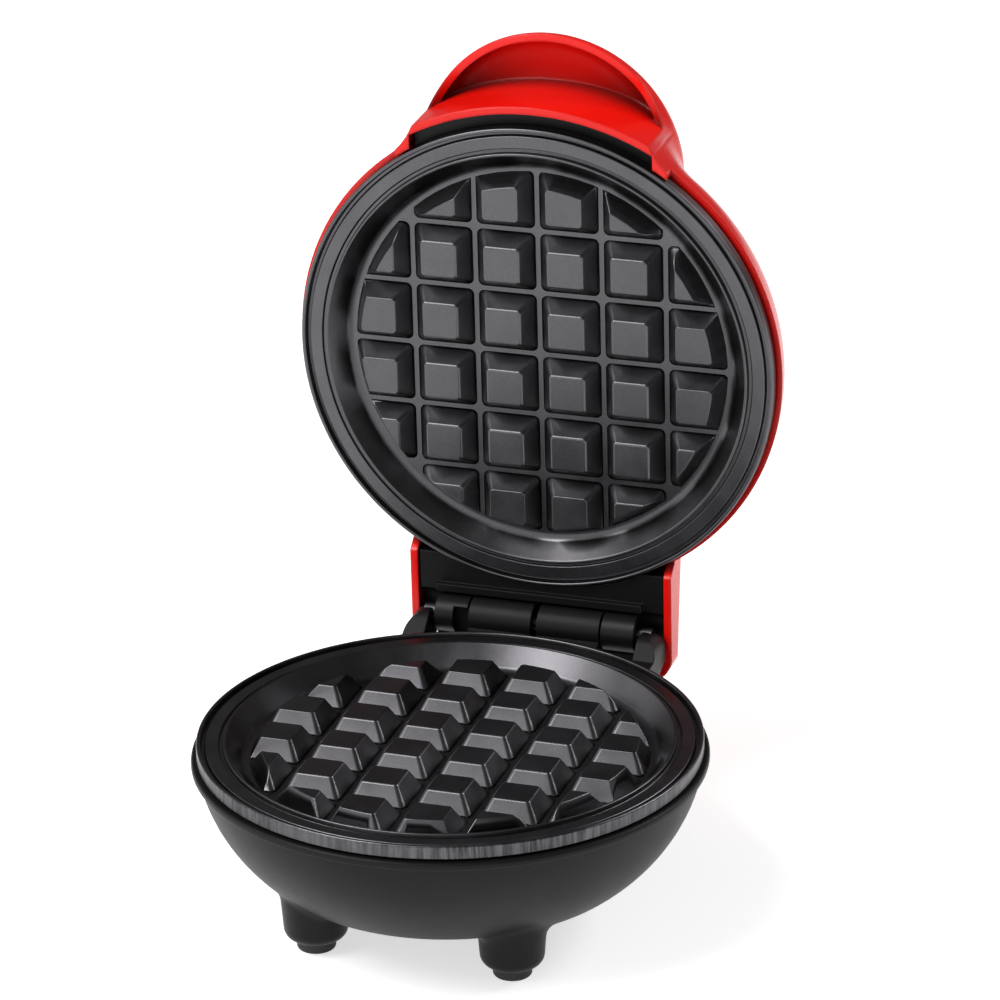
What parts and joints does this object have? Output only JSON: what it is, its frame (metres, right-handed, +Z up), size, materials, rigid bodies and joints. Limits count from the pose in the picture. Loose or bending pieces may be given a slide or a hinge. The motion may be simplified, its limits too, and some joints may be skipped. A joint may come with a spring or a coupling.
{
  "type": "mini waffle maker",
  "caption": "Small round waffle maker standing open, with a glossy red lid, scooped handle and dark non-stick waffle plates.",
  "frame": {"origin": "on the table, under the middle of the bounding box of the open waffle maker", "axes": "+Z up, -Y towards the front and the lower plate, +Y towards the hinge, +X to the right seen from the front"},
  "size_m": [0.127, 0.1594, 0.1997],
  "materials": {
    "base_plastic": "satin black moulded plastic",
    "foot_rubber": "matte black rubber",
    "screw_steel": "zinc-plated steel",
    "plate_coating": "dark grey non-stick coating on cast aluminium",
    "element_steel": "tubular heater sheath",
    "lower_shield_steel": "galvanised sheet steel",
    "control_ceramic": "ceramic and phenolic body",
    "bracket_steel": "plated steel",
    "fuse_metal": "metal-cased fuse",
    "lid_plastic": "glossy red moulded plastic",
    "frame_plastic": "satin black moulded plastic",
    "upper_shield_aluminium": "mill-finish sheet",
    "lens": "clear tinted lens",
    "lamp_glass": "small glow lamp"
  },
  "bodies": {
    "base": {"base_housing": "base_plastic", "rubber_feet": "foot_rubber", "base_screws": "screw_steel", "lower_plate": "plate_coating", "lower_element": "element_steel", "lower_heat_shield": "lower_shield_steel", "thermostat": "control_ceramic", "thermostat_bracket": "bracket_steel", "thermal_fuse": "fuse_metal", "fuse_clip": "bracket_steel", "bracket_screws": "screw_steel", "terminal_block": "control_ceramic", "terminal_screws": "screw_steel", "cord_gland": "foot_rubber", "hinge_pin": "screw_steel"},
    "lid": {"lid_shell": "lid_plastic", "lid_frame": "frame_plastic", "upper_plate": "plate_coating", "upper_element": "element_steel", "upper_heat_shield": "upper_shield_aluminium", "indicator_lens": "lens", "neon_lamp": "lamp_glass", "lamp_holder": "frame_plastic", "plate_screws": "screw_steel", "shell_screws": "screw_steel"}
  },
  "joints": [
    {"name": "lid_hinge", "type": "hinge", "parent": "base", "child": "lid", "pos_m": [0, 0.05579, 0.046], "axis": [1, 0, 0], "range_deg": [0, 88]}
  ]
}
